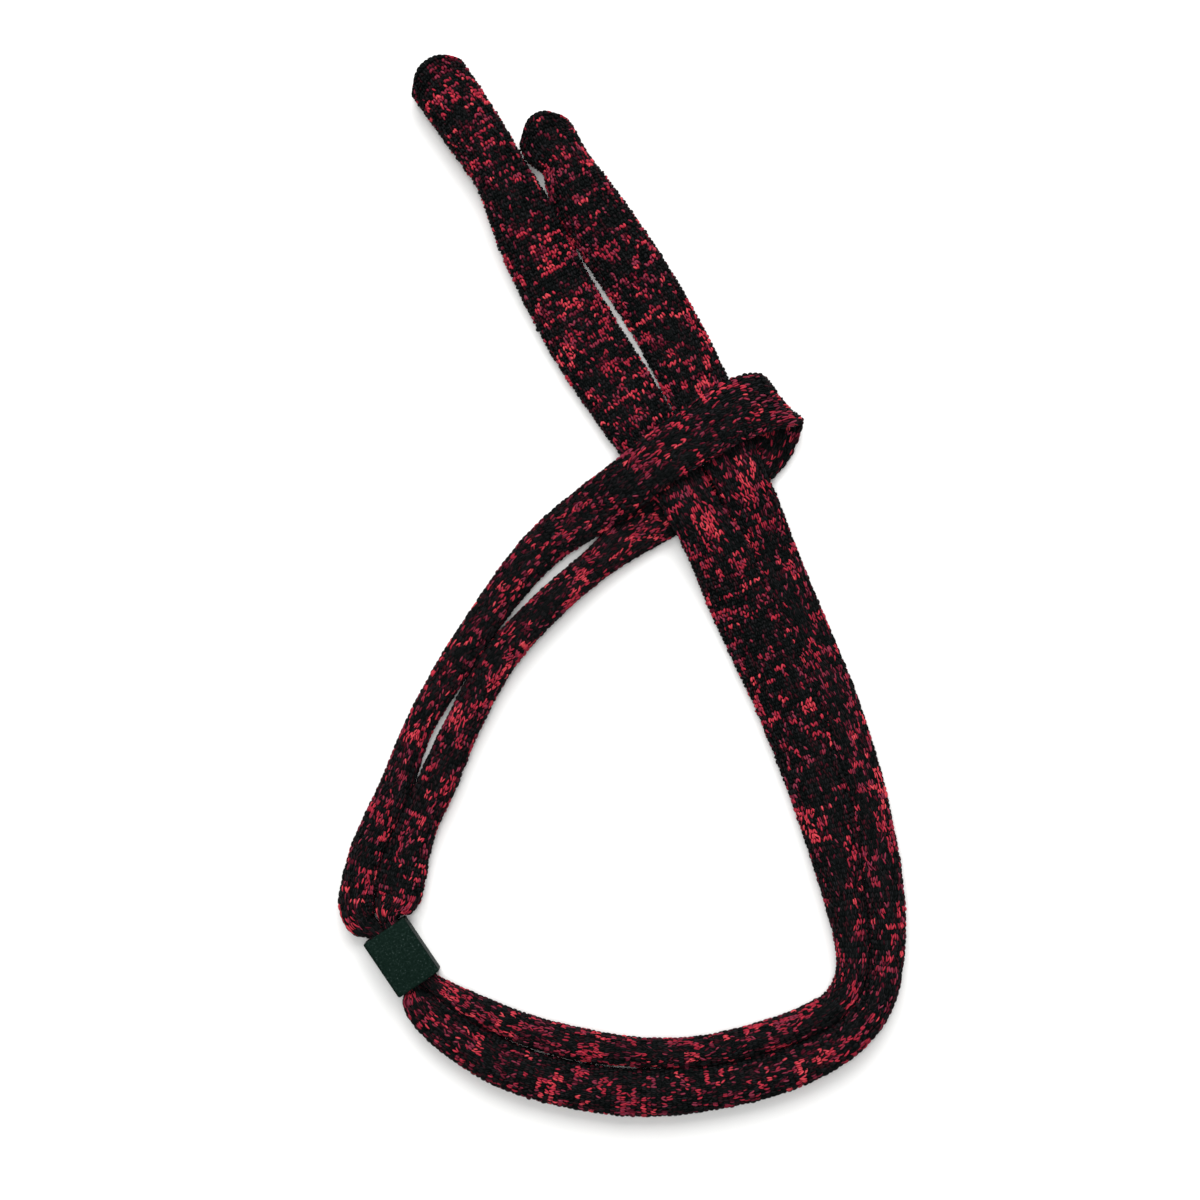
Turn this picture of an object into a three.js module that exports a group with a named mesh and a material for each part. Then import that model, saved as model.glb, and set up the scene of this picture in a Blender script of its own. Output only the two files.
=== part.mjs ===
// Eyeglass retainer strap: one knitted jersey tube, laid on a table in a half hitch,
// with a moulded slider on its doubled loop and an open sleeve for a temple at each end.
// Millimetres, +Z up, the table is Z = 0. The sleeves point along +Y.
import * as THREE from 'three';
import { mergeVertices } from 'three/addons/utils/BufferGeometryUtils.js';

// Driving dimensions
const wall = 0.8;                // knitted fabric, at the open sleeves
const meetingGap = 0.3;          // between two stretches of the tube, end to end
const sideClearance = 0.45;      // taken off each stretch's width, so neighbours never touch
const roundness = 2.6;           // superellipse exponent of the fabric's section
const boreRoundness = 3;         // the same inside the open sleeves
const sidesOfTube = 16;
const sidesOfSleeve = 24;
const stepLength = 3.4;          // along the tube

const slider = {
  centre: [-42.57, -32.58],
  turn: THREE.MathUtils.degToRad(4),
  length: 9.3,
  width: 7.1,
  height: 6.2,
  wall: 0.85,
  cornerRadius: 0.6,
  edgeBevel: 0.3,
  passageRadius: 0.5,
};

// The route of the tube from mouth A to mouth B. Each stretch lists its stations:
// [x, y, z of the centre, width, height, tilt in degrees of the outer side].
// A stretch ends where the next one starts.
const route = [
  ['sleeve_hem_a', [
    [25.1, 77.5, 3.4, 8.7, 6.8, 0],
  ]],
  ['temple_sleeve_a', [
    [25.4, 75.3, 3.4, 9.0, 6.8, 0],
    [26.2, 65.4, 3.4, 8.6, 6.8, 0],
    [26.5, 58.5, 3.4, 8.1, 6.7, 0],
  ]],
  ['sleeve_shank_a', [
    [25.9, 49.7, 3.0, 9.9, 5.9, 0],
    [25.2, 40.6, 2.2, 10.4, 4.4, 0],
  ]],
  ['sleeve_neck_a', [
    [25.2, 29.3, 1.8, 10.8, 3.5, 0],
    [25.8, 19.8, 1.8, 10.4, 3.4, 0],
  ]],
  ['crossing_a', [
    [26.0, 15.7, 1.8, 10.0, 3.3, 0],
    [26.2, 10.5, 2.3, 9.2, 3.2, 0],
    [26.3, 6.3, 4.3, 8.2, 3.2, 0],
    [26.3, 1.7, 4.9, 7.9, 3.2, 4],
    [26.4, -4.3, 4.5, 9.0, 3.2, 14],
  ]],
  ['right_run_a', [
    [25.6, -14.2, 3.1, 10.3, 3.2, 22],
    [24.0, -28.4, 2.9, 9.3, 3.4, 19],
    [21.0, -44.8, 2.8, 8.3, 3.9, 13],
  ]],
  ['corner_a', [
    [17.4, -56.9, 2.6, 6.3, 5.2, 0],
    [14.8, -63.8, 2.8, 5.1, 5.6, 0],
    [12.1, -67.8, 2.9, 4.5, 5.7, 0],
    [8.6, -69.9, 2.9, 4.4, 5.7, 0],
  ]],
  ['bottom_run_a', [
    [3.7, -70.1, 2.9, 4.6, 5.7, 0],
    [-2.8, -69.0, 2.9, 4.6, 5.6, 0],
    [-11.4, -66.4, 2.8, 4.5, 5.6, 0],
    [-19.7, -61.9, 2.8, 4.3, 5.6, 0],
  ]],
  ['slack_below_slider_a', [
    [-26.6, -56.6, 2.8, 4.8, 5.6, 0],
    [-32.6, -50.5, 2.8, 4.5, 5.6, 0],
    [-37.5, -43.8, 2.9, 3.9, 5.4, 0],
    [-39.8, -39.8, 3.0, 3.0, 4.7, 0],
  ]],
  ['strand_in_slider_a', [
    [-40.9, -37.4, 3.1, 2.6, 4.0, 0],
    [-41.3, -32.5, 3.1, 2.6, 4.0, 0],
  ]],
  ['slack_above_slider_a', [
    [-41.6, -27.4, 3.1, 2.6, 4.0, 0],
    [-40.9, -26.0, 3.0, 4.4, 4.8, 0],
    [-39.0, -24.7, 2.8, 7.0, 5.2, 0],
    [-37.0, -22.6, 2.7, 7.3, 5.2, 0],
    [-33.9, -19.6, 2.7, 6.4, 5.2, 0],
  ]],
  ['left_run_a', [
    [-30.2, -16.5, 2.7, 5.8, 5.4, 0],
    [-25.8, -13.5, 2.8, 5.8, 5.6, 0],
    [-19.0, -8.5, 2.8, 5.3, 5.6, 0],
    [-8.6, -2.2, 2.8, 5.1, 5.4, 0],
    [0.8, 0.8, 2.6, 4.9, 5.0, 0],
  ]],
  ['hitch_under_layer', [
    [9.4, 2.5, 2.0, 4.9, 4.0, 0],
    [16.4, 3.5, 1.6, 6.1, 3.1, 0],
    [26.6, 3.7, 1.3, 7.0, 2.5, 0],
    [35.0, 3.7, 1.3, 7.2, 2.4, 0],
    [39.4, 4.6, 1.3, 7.6, 2.4, 0],
  ]],
  ['hitch_fold', [
    [42.8, 7.0, 1.8, 7.9, 2.5, 0],
    [44.2, 8.9, 3.0, 8.7, 2.5, 0],
    [44.3, 9.6, 4.5, 8.8, 2.6, 0],
    [43.3, 10.4, 5.8, 8.9, 2.7, 0],
    [41.3, 11.2, 6.6, 9.2, 2.8, 0],
  ]],
  ['hitch_over_band', [
    [38.5, 11.7, 6.8, 9.2, 2.9, 6],
    [32.6, 11.5, 6.5, 8.8, 3.0, 11],
    [25.8, 11.1, 6.4, 8.0, 3.1, 12],
    [19.5, 10.3, 5.1, 7.8, 3.1, 7],
    [13.6, 9.7, 2.7, 7.5, 3.3, 0],
  ]],
  ['left_run_b', [
    [6.3, 8.9, 2.0, 6.4, 3.8, 0],
    [0.1, 7.1, 2.3, 5.7, 4.6, 0],
    [-7.8, 3.7, 2.6, 5.1, 5.2, 0],
    [-15.4, -0.1, 2.7, 4.9, 5.4, 0],
    [-24.1, -5.2, 2.8, 4.3, 5.4, 0],
    [-30.9, -10.7, 2.8, 4.8, 5.4, 0],
  ]],
  ['slack_above_slider_b', [
    [-39.1, -16.6, 2.8, 4.9, 5.6, 0],
    [-42.4, -19.8, 2.8, 4.9, 5.6, 0],
    [-44.5, -22.7, 2.8, 5.3, 5.4, 0],
    [-45.1, -25.3, 2.9, 4.7, 5.0, 0],
  ]],
  ['strand_in_slider_b', [
    [-44.2, -27.6, 3.1, 2.6, 4.0, 0],
    [-43.9, -32.7, 3.1, 2.6, 4.0, 0],
  ]],
  ['slack_below_slider_b', [
    [-43.5, -37.5, 3.1, 2.6, 4.0, 0],
    [-43.8, -38.9, 3.0, 4.5, 4.8, 0],
    [-43.6, -40.9, 2.9, 5.4, 5.1, 0],
    [-42.3, -44.8, 2.8, 6.3, 5.2, 0],
    [-37.5, -53.7, 2.8, 6.8, 5.4, 0],
  ]],
  ['bottom_run_b', [
    [-30.2, -61.4, 2.8, 6.8, 5.4, 0],
    [-22.6, -67.0, 2.8, 7.0, 5.4, 0],
    [-14.8, -70.8, 2.8, 6.8, 5.4, 0],
    [-6.8, -73.6, 2.8, 6.5, 5.4, 0],
  ]],
  ['corner_b', [
    [0.8, -75.1, 2.8, 6.2, 5.5, 0],
    [8.2, -74.9, 2.9, 5.7, 5.6, 0],
    [14.2, -72.3, 2.9, 5.2, 5.6, 0],
    [18.4, -67.5, 2.9, 5.2, 5.6, 0],
  ]],
  ['right_run_b', [
    [21.9, -61.2, 2.8, 5.7, 5.4, 0],
    [26.9, -48.2, 2.1, 5.7, 4.2, 0],
    [30.4, -32.8, 1.7, 6.3, 3.3, 0],
    [31.9, -19.2, 1.6, 7.0, 3.0, 0],
  ]],
  ['crossing_b', [
    [33.0, -8.9, 1.8, 7.6, 3.0, 0],
    [33.9, -2.9, 3.1, 7.7, 3.0, 0],
    [34.3, 1.5, 4.2, 7.8, 2.9, 0],
    [34.7, 6.2, 4.3, 8.0, 2.9, 0],
    [35.1, 9.8, 3.6, 8.3, 2.9, 0],
    [35.4, 13.4, 2.3, 8.9, 3.2, 0],
  ]],
  ['sleeve_neck_b', [
    [35.8, 18.4, 1.8, 9.6, 3.4, 0],
    [36.2, 25.5, 1.8, 9.7, 3.6, 0],
  ]],
  ['sleeve_shank_b', [
    [36.1, 33.5, 2.3, 9.9, 4.5, 0],
  ]],
  ['temple_sleeve_b', [
    [35.6, 41.7, 3.0, 9.9, 5.9, 0],
    [35.1, 51.2, 3.4, 8.8, 6.7, 0],
    [35.4, 55.7, 3.4, 7.3, 6.8, 0],
    [34.9, 58.8, 3.4, 8.6, 6.8, 0],
  ]],
  ['sleeve_hem_b', [
    [35.0, 60.7, 3.4, 8.0, 6.8, 0],
    [35.1, 62.9, 3.4, 7.3, 6.8, 0],
  ]],
];

const stations = route.flatMap(([, rows]) => rows);
const firstStation = {};
let counted = 0;
for (const [name, rows] of route) {
  firstStation[name] = counted;
  counted += rows.length;
}
const firstOverhead = firstStation.hitch_over_band;
const lastUnderfoot = firstStation.hitch_fold - 1;

// A smooth curve through all the stations: a non-uniform Catmull-Rom spline whose
// knots are spaced by the square root of the distance.
function distance(a, b) {
  return Math.hypot(a[0] - b[0], a[1] - b[1], a[2] - b[2]);
}

function stationAt(position) {
  const i = Math.min(Math.floor(position), stations.length - 2);
  const t = position - i;
  const p1 = stations[i];
  const p2 = stations[i + 1];
  const p0 = stations[i - 1] ?? p1.map((v, k) => 2 * v - p2[k]);
  const p3 = stations[i + 2] ?? p2.map((v, k) => 2 * v - p1[k]);
  const before = Math.sqrt(distance(p0, p1));
  const within = Math.sqrt(distance(p1, p2));
  const after = Math.sqrt(distance(p2, p3));
  return p1.map((start, k) => {
    const end = p2[k];
    const startSlope = (start - p0[k]) / before - (end - p0[k]) / (before + within) + (end - start) / within;
    const endSlope = (end - start) / within - (p3[k] - start) / (within + after) + (p3[k] - end) / after;
    const m1 = startSlope * within;
    const m2 = endSlope * within;
    const cubic = 2 * start - 2 * end + m1 + m2;
    const square = -3 * start + 3 * end - 2 * m1 - m2;
    return ((cubic * t + square) * t + m1) * t + start;
  });
}

function tangentAt(position) {
  const last = stations.length - 1;
  const ahead = stationAt(Math.min(position + 0.01, last));
  const behind = stationAt(Math.max(position - 0.01, 0));
  return new THREE.Vector3(ahead[0] - behind[0], ahead[1] - behind[1], ahead[2] - behind[2]).normalize();
}

// The direction across the flat of the tube. It is level along both legs. Round the
// fold the tube turns over, so the side goes smoothly from one leg's to the other's.
function levelSide(position) {
  const up = new THREE.Vector3(0, 0, position > lastUnderfoot ? -1 : 1);
  return tangentAt(position).cross(up).normalize();
}

function sideAt(position) {
  const tangent = tangentAt(position);
  let side;
  if (position > lastUnderfoot && position < firstOverhead) {
    const share = (position - lastUnderfoot) / (firstOverhead - lastUnderfoot);
    side = levelSide(lastUnderfoot).lerp(levelSide(firstOverhead), share);
    side.addScaledVector(tangent, -side.dot(tangent)).normalize();
  } else {
    side = levelSide(position);
  }
  const tilt = THREE.MathUtils.degToRad(stationAt(position)[5]);
  return side.applyAxisAngle(tangent, tilt);
}

// One ring of points round the tube: a superellipse of the station's width and height.
function ringAt(position, sides, inset, exponent) {
  const [x, y, z, width, height] = stationAt(position);
  const side = sideAt(position);
  const normal = side.clone().cross(tangentAt(position));
  const halfWidth = (width - sideClearance) / 2 - inset;
  const halfHeight = height / 2 - inset;
  const ring = [];
  for (let k = 0; k < sides; k += 1) {
    const angle = (2 * Math.PI * (k + 0.5)) / sides;
    const across = halfWidth * Math.sign(Math.cos(angle)) * Math.abs(Math.cos(angle)) ** (2 / exponent);
    const upward = halfHeight * Math.sign(Math.sin(angle)) * Math.abs(Math.sin(angle)) ** (2 / exponent);
    ring.push(new THREE.Vector3(x, y, z).addScaledVector(side, across).addScaledVector(normal, upward));
  }
  return ring;
}

// Joins rings of equal length into a closed tube. A hollow tube's rings run on down the
// bore and back to the first; a solid one is closed by a fan at each end.
function skin(rings, closedLoop) {
  const sides = rings[0].length;
  const points = rings.flat();
  const index = [];
  const bands = closedLoop ? rings.length : rings.length - 1;
  for (let r = 0; r < bands; r += 1) {
    const near = r * sides;
    const far = ((r + 1) % rings.length) * sides;
    for (let k = 0; k < sides; k += 1) {
      const next = (k + 1) % sides;
      index.push(near + k, far + k, near + next, near + next, far + k, far + next);
    }
  }
  if (!closedLoop) {
    const last = (rings.length - 1) * sides;
    for (let k = 1; k < sides - 1; k += 1) {
      index.push(0, k, k + 1, last, last + k + 1, last + k);
    }
  }
  const geometry = new THREE.BufferGeometry().setFromPoints(points);
  geometry.setIndex(index);
  return geometry;
}

// Places along a stretch, an even step apart, with half the meeting gap left at each end.
function placesAlong(name) {
  const order = route.findIndex(([stretch]) => stretch === name);
  const from = firstStation[name];
  const to = order + 1 < route.length ? firstStation[route[order + 1][0]] : stations.length - 1;
  const fine = [];
  let length = 0;
  for (let s = 0; s <= (to - from) * 40; s += 1) {
    const position = from + s / 40;
    if (s > 0) {
      length += distance(stationAt(position), stationAt(position - 1 / 40));
    }
    fine.push({ position, length });
  }
  const start = from === 0 ? 0 : meetingGap / 2;
  const end = to === stations.length - 1 ? length : length - meetingGap / 2;
  const steps = Math.max(1, Math.round((end - start) / stepLength));
  const places = [];
  for (let s = 0; s <= steps; s += 1) {
    const wanted = start + ((end - start) * s) / steps;
    const after = Math.max(1, fine.findIndex((point) => point.length >= wanted - 1e-9));
    const [a, b] = [fine[after - 1], fine[after]];
    places.push(a.position + ((b.position - a.position) * (wanted - a.length)) / (b.length - a.length));
  }
  return places;
}

function solidStretch(name) {
  return skin(placesAlong(name).map((place) => ringAt(place, sidesOfTube, 0, roundness)), false);
}

function hollowStretch(name) {
  const places = placesAlong(name);
  const outer = places.map((place) => ringAt(place, sidesOfSleeve, 0, roundness));
  const bore = places.map((place) => ringAt(place, sidesOfSleeve, wall, boreRoundness)).reverse();
  return skin([...outer, ...bore], true);
}

function roundedRectangle(path, width, height, radius) {
  const x = width / 2 - radius;
  const y = height / 2 - radius;
  path.absarc(x, y, radius, 0, Math.PI / 2);
  path.absarc(-x, y, radius, Math.PI / 2, Math.PI);
  path.absarc(-x, -y, radius, Math.PI, 1.5 * Math.PI);
  path.absarc(x, -y, radius, 1.5 * Math.PI, 2 * Math.PI);
  path.closePath();
  return path;
}

// The slider: a short rectangular sleeve with one passage for both strands.
function sliderGeometry() {
  const bevel = slider.edgeBevel;
  const bevelledWidth = slider.width - 2 * bevel;
  const bevelledHeight = slider.height - 2 * bevel;
  const section = roundedRectangle(new THREE.Shape(), bevelledWidth, bevelledHeight, slider.cornerRadius - bevel);
  const passageWidth = slider.width - 2 * slider.wall + 2 * bevel;
  const passageHeight = slider.height - 2 * slider.wall + 2 * bevel;
  section.holes.push(roundedRectangle(new THREE.Path(), passageWidth, passageHeight, slider.passageRadius));
  const geometry = new THREE.ExtrudeGeometry(section, {
    depth: slider.length - 2 * bevel,
    bevelEnabled: true,
    bevelThickness: bevel,
    bevelSize: bevel,
    bevelSegments: 2,
    curveSegments: 4,
  });
  geometry.translate(0, 0, bevel - slider.length / 2);
  geometry.rotateX(Math.PI / 2);
  geometry.deleteAttribute('normal');
  geometry.deleteAttribute('uv');
  return mergeVertices(geometry, 1e-4);
}

const jersey = { color: 0x2b1417, roughness: 0.95, metalness: 0 };
const hemJersey = { color: 0x1f1618, roughness: 0.95, metalness: 0 };
const blackPlastic = { color: 0x1a2220, roughness: 0.45, metalness: 0 };

function addPiece(group, name, geometry, look) {
  const mesh = new THREE.Mesh(geometry, new THREE.MeshStandardMaterial(look));
  mesh.name = name;
  group.add(mesh);
  return mesh;
}

const strap = new THREE.Group();
for (const [name] of route) {
  if (name.startsWith('sleeve_hem')) {
    addPiece(strap, name, hollowStretch(name), hemJersey);
  } else if (name.startsWith('temple_sleeve')) {
    addPiece(strap, name, hollowStretch(name), jersey);
  } else {
    addPiece(strap, name, solidStretch(name), jersey);
  }
}
const sliderMesh = addPiece(strap, 'slider', sliderGeometry(), blackPlastic);
sliderMesh.position.set(...slider.centre, slider.height / 2);
sliderMesh.rotation.z = slider.turn;

export default strap;
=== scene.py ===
# Looks of the eyeglass retainer strap: a knitted melange tube in a half hitch, its two
# bound-off sleeve mouths, and the moulded slider on the doubled loop. Metres, +Z up.
import math

import bpy
import numpy as np
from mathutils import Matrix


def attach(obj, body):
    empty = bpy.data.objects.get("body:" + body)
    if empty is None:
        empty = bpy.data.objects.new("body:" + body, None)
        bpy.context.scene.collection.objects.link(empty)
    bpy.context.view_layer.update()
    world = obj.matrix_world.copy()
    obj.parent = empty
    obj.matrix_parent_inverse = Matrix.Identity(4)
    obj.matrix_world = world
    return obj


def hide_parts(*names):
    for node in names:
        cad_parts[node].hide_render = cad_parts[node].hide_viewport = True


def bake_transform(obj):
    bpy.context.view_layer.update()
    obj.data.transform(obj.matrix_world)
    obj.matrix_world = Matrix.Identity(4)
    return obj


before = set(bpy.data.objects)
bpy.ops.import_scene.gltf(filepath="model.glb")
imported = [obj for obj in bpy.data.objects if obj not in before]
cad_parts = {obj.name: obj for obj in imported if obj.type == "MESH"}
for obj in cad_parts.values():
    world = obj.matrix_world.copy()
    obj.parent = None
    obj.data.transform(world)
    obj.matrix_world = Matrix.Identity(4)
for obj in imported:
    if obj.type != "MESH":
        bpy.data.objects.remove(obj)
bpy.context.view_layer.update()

# ---------------------------------------------------------------- camera

FRAME_WIDTH = 0.174        # of the table that the picture shows
LENS = 120.0
SENSOR = 36.0
CAMERA_SPOT = (0.0081, -0.0022)
CAMERA_TURN = math.radians(-30)


def make_camera():
    data = bpy.data.cameras.new("camera")
    data.lens = LENS
    data.sensor_width = SENSOR
    camera = bpy.data.objects.new("camera", data)
    camera.location = (*CAMERA_SPOT, FRAME_WIDTH * LENS / SENSOR + 0.003)
    camera.rotation_euler = (0, 0, CAMERA_TURN)
    bpy.context.scene.collection.objects.link(camera)
    bpy.context.scene.camera = camera


make_camera()

# ---------------------------------------------------------------- the route of the tube

# Stations from mouth A to mouth B, by stretch: x, y, z of the centre, width, height,
# and the tilt in degrees.
ROUTE = [
    ("sleeve_hem_a", [
        (0.0251, 0.0775, 0.0034, 0.0087, 0.0068, 0),
    ]),
    ("temple_sleeve_a", [
        (0.0254, 0.0753, 0.0034, 0.009, 0.0068, 0),
        (0.0262, 0.0654, 0.0034, 0.0086, 0.0068, 0),
        (0.0265, 0.0585, 0.0034, 0.0081, 0.0067, 0),
    ]),
    ("sleeve_shank_a", [
        (0.0259, 0.0497, 0.003, 0.0099, 0.0059, 0),
        (0.0252, 0.0406, 0.0022, 0.0104, 0.0044, 0),
    ]),
    ("sleeve_neck_a", [
        (0.0252, 0.0293, 0.0018, 0.0108, 0.0035, 0),
        (0.0258, 0.0198, 0.0018, 0.0104, 0.0034, 0),
    ]),
    ("crossing_a", [
        (0.026, 0.0157, 0.0018, 0.01, 0.0033, 0),
        (0.0262, 0.0105, 0.0023, 0.0092, 0.0032, 0),
        (0.0263, 0.0063, 0.0043, 0.0082, 0.0032, 0),
        (0.0263, 0.0017, 0.0049, 0.0079, 0.0032, 4),
        (0.0264, -0.0043, 0.0045, 0.009, 0.0032, 14),
    ]),
    ("right_run_a", [
        (0.0256, -0.0142, 0.0031, 0.0103, 0.0032, 22),
        (0.024, -0.0284, 0.0029, 0.0093, 0.0034, 19),
        (0.021, -0.0448, 0.0028, 0.0083, 0.0039, 13),
    ]),
    ("corner_a", [
        (0.0174, -0.0569, 0.0026, 0.0063, 0.0052, 0),
        (0.0148, -0.0638, 0.0028, 0.0051, 0.0056, 0),
        (0.0121, -0.0678, 0.0029, 0.0045, 0.0057, 0),
        (0.0086, -0.0699, 0.0029, 0.0044, 0.0057, 0),
    ]),
    ("bottom_run_a", [
        (0.0037, -0.0701, 0.0029, 0.0046, 0.0057, 0),
        (-0.0028, -0.069, 0.0029, 0.0046, 0.0056, 0),
        (-0.0114, -0.0664, 0.0028, 0.0045, 0.0056, 0),
        (-0.0197, -0.0619, 0.0028, 0.0043, 0.0056, 0),
    ]),
    ("slack_below_slider_a", [
        (-0.0266, -0.0566, 0.0028, 0.0048, 0.0056, 0),
        (-0.0326, -0.0505, 0.0028, 0.0045, 0.0056, 0),
        (-0.0375, -0.0438, 0.0029, 0.0039, 0.0054, 0),
        (-0.0398, -0.0398, 0.003, 0.003, 0.0047, 0),
    ]),
    ("strand_in_slider_a", [
        (-0.0409, -0.0374, 0.0031, 0.0026, 0.004, 0),
        (-0.0413, -0.0325, 0.0031, 0.0026, 0.004, 0),
    ]),
    ("slack_above_slider_a", [
        (-0.0416, -0.0274, 0.0031, 0.0026, 0.004, 0),
        (-0.0409, -0.026, 0.003, 0.0044, 0.0048, 0),
        (-0.039, -0.0247, 0.0028, 0.007, 0.0052, 0),
        (-0.037, -0.0226, 0.0027, 0.0073, 0.0052, 0),
        (-0.0339, -0.0196, 0.0027, 0.0064, 0.0052, 0),
    ]),
    ("left_run_a", [
        (-0.0302, -0.0165, 0.0027, 0.0058, 0.0054, 0),
        (-0.0258, -0.0135, 0.0028, 0.0058, 0.0056, 0),
        (-0.019, -0.0085, 0.0028, 0.0053, 0.0056, 0),
        (-0.0086, -0.0022, 0.0028, 0.0051, 0.0054, 0),
        (0.0008, 0.0008, 0.0026, 0.0049, 0.005, 0),
    ]),
    ("hitch_under_layer", [
        (0.0094, 0.0025, 0.002, 0.0049, 0.004, 0),
        (0.0164, 0.0035, 0.0016, 0.0061, 0.0031, 0),
        (0.0266, 0.0037, 0.0013, 0.007, 0.0025, 0),
        (0.035, 0.0037, 0.0013, 0.0072, 0.0024, 0),
        (0.0394, 0.0046, 0.0013, 0.0076, 0.0024, 0),
    ]),
    ("hitch_fold", [
        (0.0428, 0.007, 0.0018, 0.0079, 0.0025, 0),
        (0.0442, 0.0089, 0.003, 0.0087, 0.0025, 0),
        (0.0443, 0.0096, 0.0045, 0.0088, 0.0026, 0),
        (0.0433, 0.0104, 0.0058, 0.0089, 0.0027, 0),
        (0.0413, 0.0112, 0.0066, 0.0092, 0.0028, 0),
    ]),
    ("hitch_over_band", [
        (0.0385, 0.0117, 0.0068, 0.0092, 0.0029, 6),
        (0.0326, 0.0115, 0.0065, 0.0088, 0.003, 11),
        (0.0258, 0.0111, 0.0064, 0.008, 0.0031, 12),
        (0.0195, 0.0103, 0.0051, 0.0078, 0.0031, 7),
        (0.0136, 0.0097, 0.0027, 0.0075, 0.0033, 0),
    ]),
    ("left_run_b", [
        (0.0063, 0.0089, 0.002, 0.0064, 0.0038, 0),
        (0.0001, 0.0071, 0.0023, 0.0057, 0.0046, 0),
        (-0.0078, 0.0037, 0.0026, 0.0051, 0.0052, 0),
        (-0.0154, -0.0001, 0.0027, 0.0049, 0.0054, 0),
        (-0.0241, -0.0052, 0.0028, 0.0043, 0.0054, 0),
        (-0.0309, -0.0107, 0.0028, 0.0048, 0.0054, 0),
    ]),
    ("slack_above_slider_b", [
        (-0.0391, -0.0166, 0.0028, 0.0049, 0.0056, 0),
        (-0.0424, -0.0198, 0.0028, 0.0049, 0.0056, 0),
        (-0.0445, -0.0227, 0.0028, 0.0053, 0.0054, 0),
        (-0.0451, -0.0253, 0.0029, 0.0047, 0.005, 0),
    ]),
    ("strand_in_slider_b", [
        (-0.0442, -0.0276, 0.0031, 0.0026, 0.004, 0),
        (-0.0439, -0.0327, 0.0031, 0.0026, 0.004, 0),
    ]),
    ("slack_below_slider_b", [
        (-0.0435, -0.0375, 0.0031, 0.0026, 0.004, 0),
        (-0.0438, -0.0389, 0.003, 0.0045, 0.0048, 0),
        (-0.0436, -0.0409, 0.0029, 0.0054, 0.0051, 0),
        (-0.0423, -0.0448, 0.0028, 0.0063, 0.0052, 0),
        (-0.0375, -0.0537, 0.0028, 0.0068, 0.0054, 0),
    ]),
    ("bottom_run_b", [
        (-0.0302, -0.0614, 0.0028, 0.0068, 0.0054, 0),
        (-0.0226, -0.067, 0.0028, 0.007, 0.0054, 0),
        (-0.0148, -0.0708, 0.0028, 0.0068, 0.0054, 0),
        (-0.0068, -0.0736, 0.0028, 0.0065, 0.0054, 0),
    ]),
    ("corner_b", [
        (0.0008, -0.0751, 0.0028, 0.0062, 0.0055, 0),
        (0.0082, -0.0749, 0.0029, 0.0057, 0.0056, 0),
        (0.0142, -0.0723, 0.0029, 0.0052, 0.0056, 0),
        (0.0184, -0.0675, 0.0029, 0.0052, 0.0056, 0),
    ]),
    ("right_run_b", [
        (0.0219, -0.0612, 0.0028, 0.0057, 0.0054, 0),
        (0.0269, -0.0482, 0.0021, 0.0057, 0.0042, 0),
        (0.0304, -0.0328, 0.0017, 0.0063, 0.0033, 0),
        (0.0319, -0.0192, 0.0016, 0.007, 0.003, 0),
    ]),
    ("crossing_b", [
        (0.033, -0.0089, 0.0018, 0.0076, 0.003, 0),
        (0.0339, -0.0029, 0.0031, 0.0077, 0.003, 0),
        (0.0343, 0.0015, 0.0042, 0.0078, 0.0029, 0),
        (0.0347, 0.0062, 0.0043, 0.008, 0.0029, 0),
        (0.0351, 0.0098, 0.0036, 0.0083, 0.0029, 0),
        (0.0354, 0.0134, 0.0023, 0.0089, 0.0032, 0),
    ]),
    ("sleeve_neck_b", [
        (0.0358, 0.0184, 0.0018, 0.0096, 0.0034, 0),
        (0.0362, 0.0255, 0.0018, 0.0097, 0.0036, 0),
    ]),
    ("sleeve_shank_b", [
        (0.0361, 0.0335, 0.0023, 0.0099, 0.0045, 0),
    ]),
    ("temple_sleeve_b", [
        (0.0356, 0.0417, 0.003, 0.0099, 0.0059, 0),
        (0.0351, 0.0512, 0.0034, 0.0088, 0.0067, 0),
        (0.0354, 0.0557, 0.0034, 0.0073, 0.0068, 0),
        (0.0349, 0.0588, 0.0034, 0.0086, 0.0068, 0),
    ]),
    ("sleeve_hem_b", [
        (0.035, 0.0607, 0.0034, 0.008, 0.0068, 0),
        (0.0351, 0.0629, 0.0034, 0.0073, 0.0068, 0),
    ]),
]

STATIONS = np.array([row for _, rows in ROUTE for row in rows])
LAST = len(STATIONS) - 1
FIRST = {}
counted = 0
for stretch, rows in ROUTE:
    FIRST[stretch] = counted
    counted += len(rows)
FIRST_OVERHEAD = FIRST["hitch_over_band"]
LAST_UNDERFOOT = FIRST["hitch_fold"] - 1
ROUNDNESS = 2.25           # superellipse exponent of the tube's section


def unit(vectors):
    return vectors / np.linalg.norm(vectors, axis=1, keepdims=True)


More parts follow.
